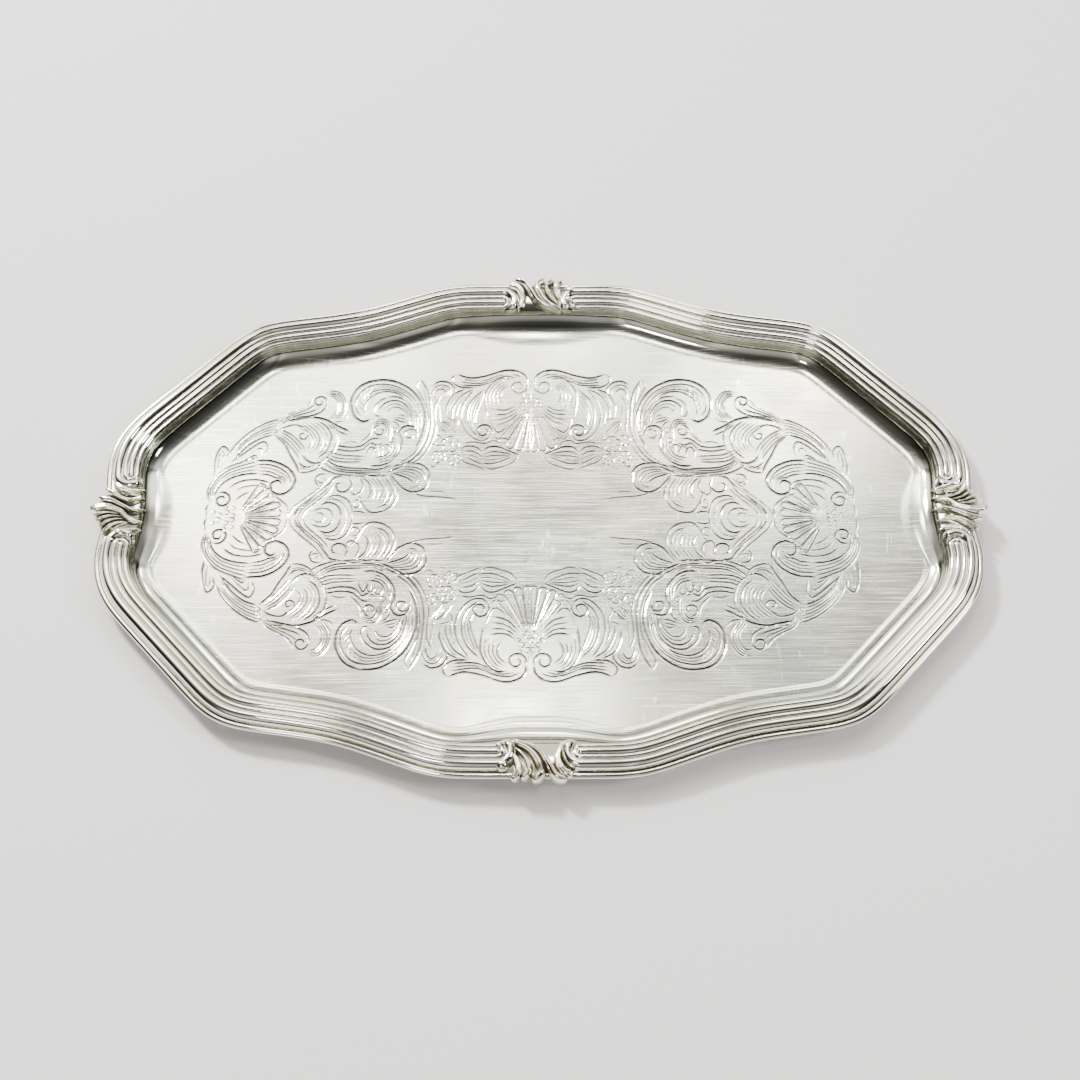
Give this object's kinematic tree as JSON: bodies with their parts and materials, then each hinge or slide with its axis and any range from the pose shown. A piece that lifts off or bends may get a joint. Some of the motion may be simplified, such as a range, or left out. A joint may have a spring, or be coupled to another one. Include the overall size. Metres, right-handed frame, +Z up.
{
  "type": "serving tray",
  "caption": "Oval metal serving tray with a scalloped outline, a reeded raised border, cast scroll ornaments at the four axis points and a chased flat floor.",
  "frame": {"origin": "centre of the tray in plan, on the plane it rests on", "axes": "+X along the tray's length, +Y across it towards the back, +Z up"},
  "size_m": [0.3804, 0.2414, 0.0129],
  "materials": {
    "sheet": "polished silver plate, lightly scratched",
    "mount": "bright polished silver plate",
    "casting": "polished silver plate, darker in the hollows"
  },
  "bodies": {
    "root": {"tray_body": "sheet", "edge_wire": "mount", "border_back_right": "mount", "border_front_right": "mount", "border_front_left": "mount", "border_back_left": "mount", "ornament_back": "casting", "ornament_front": "casting", "ornament_right": "casting", "ornament_left": "casting"}
  },
  "joints": []
}
